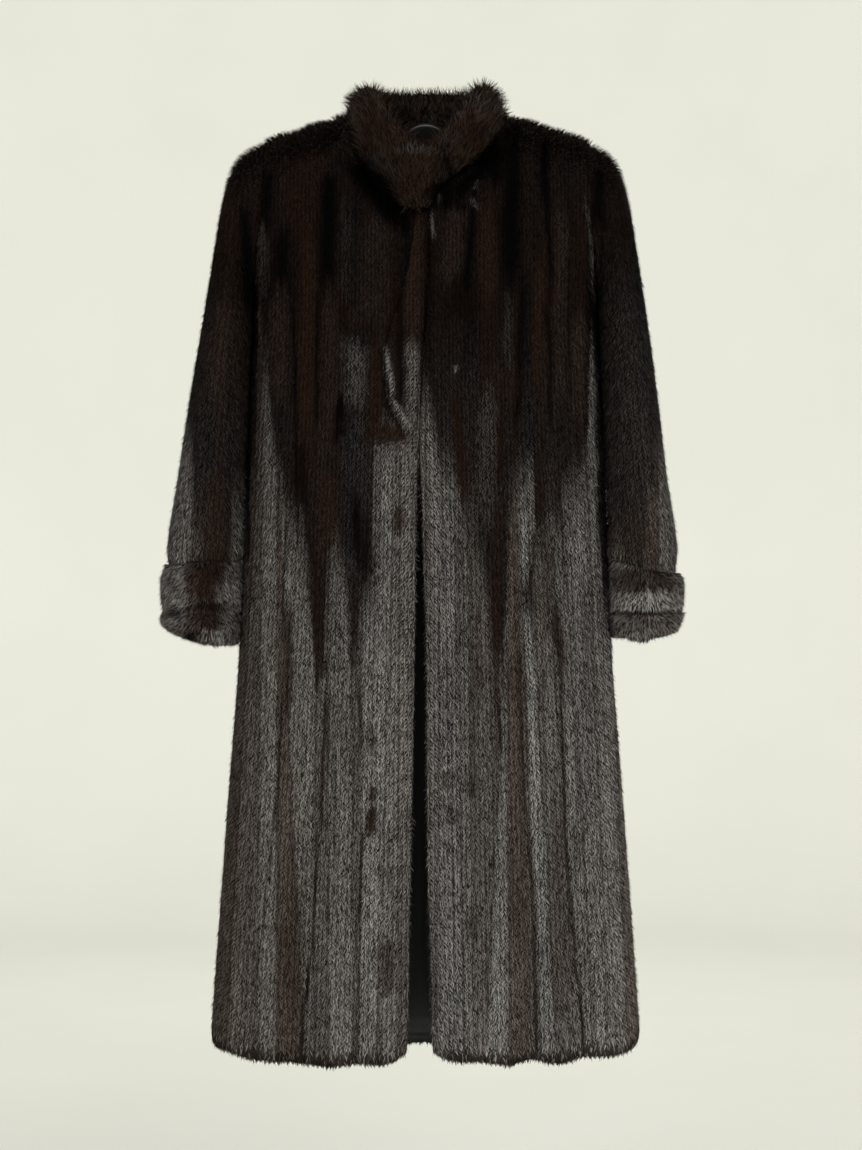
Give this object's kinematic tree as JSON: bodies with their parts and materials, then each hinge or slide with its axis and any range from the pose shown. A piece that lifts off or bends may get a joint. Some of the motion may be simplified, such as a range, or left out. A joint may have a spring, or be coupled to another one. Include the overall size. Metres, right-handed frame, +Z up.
{
  "type": "fur coat on a hanger",
  "caption": "Full-length dark mink coat with a stand collar and turned-back cuffs, hung open at the front on a plain moulded hanger.",
  "frame": {"origin": "the inside top of the hanger's hook, where it hangs on a rail", "axes": "+X towards the wearer's left sleeve, -Y out of the coat's front, +Z up, from hem to collar"},
  "size_m": [0.654, 0.1747, 1.2078],
  "materials": {
    "mink": "let-out mink, dark brown-black guard hair with a silver sheen",
    "dense_mink": "collar and cuff mink, dark brown, short and dense",
    "satin": "satin lining, near black",
    "hanger_plastic": "moulded, glossy black",
    "hook_steel": "blackened wire"
  },
  "bodies": {
    "root": {"back": "mink", "front_right": "mink", "front_left": "mink", "lapel": "mink", "sleeve_right": "mink", "sleeve_left": "mink", "cuff_right": "dense_mink", "cuff_left": "dense_mink", "collar": "dense_mink", "back_lining": "satin", "hanger": "hanger_plastic", "hook": "hook_steel"}
  },
  "joints": []
}
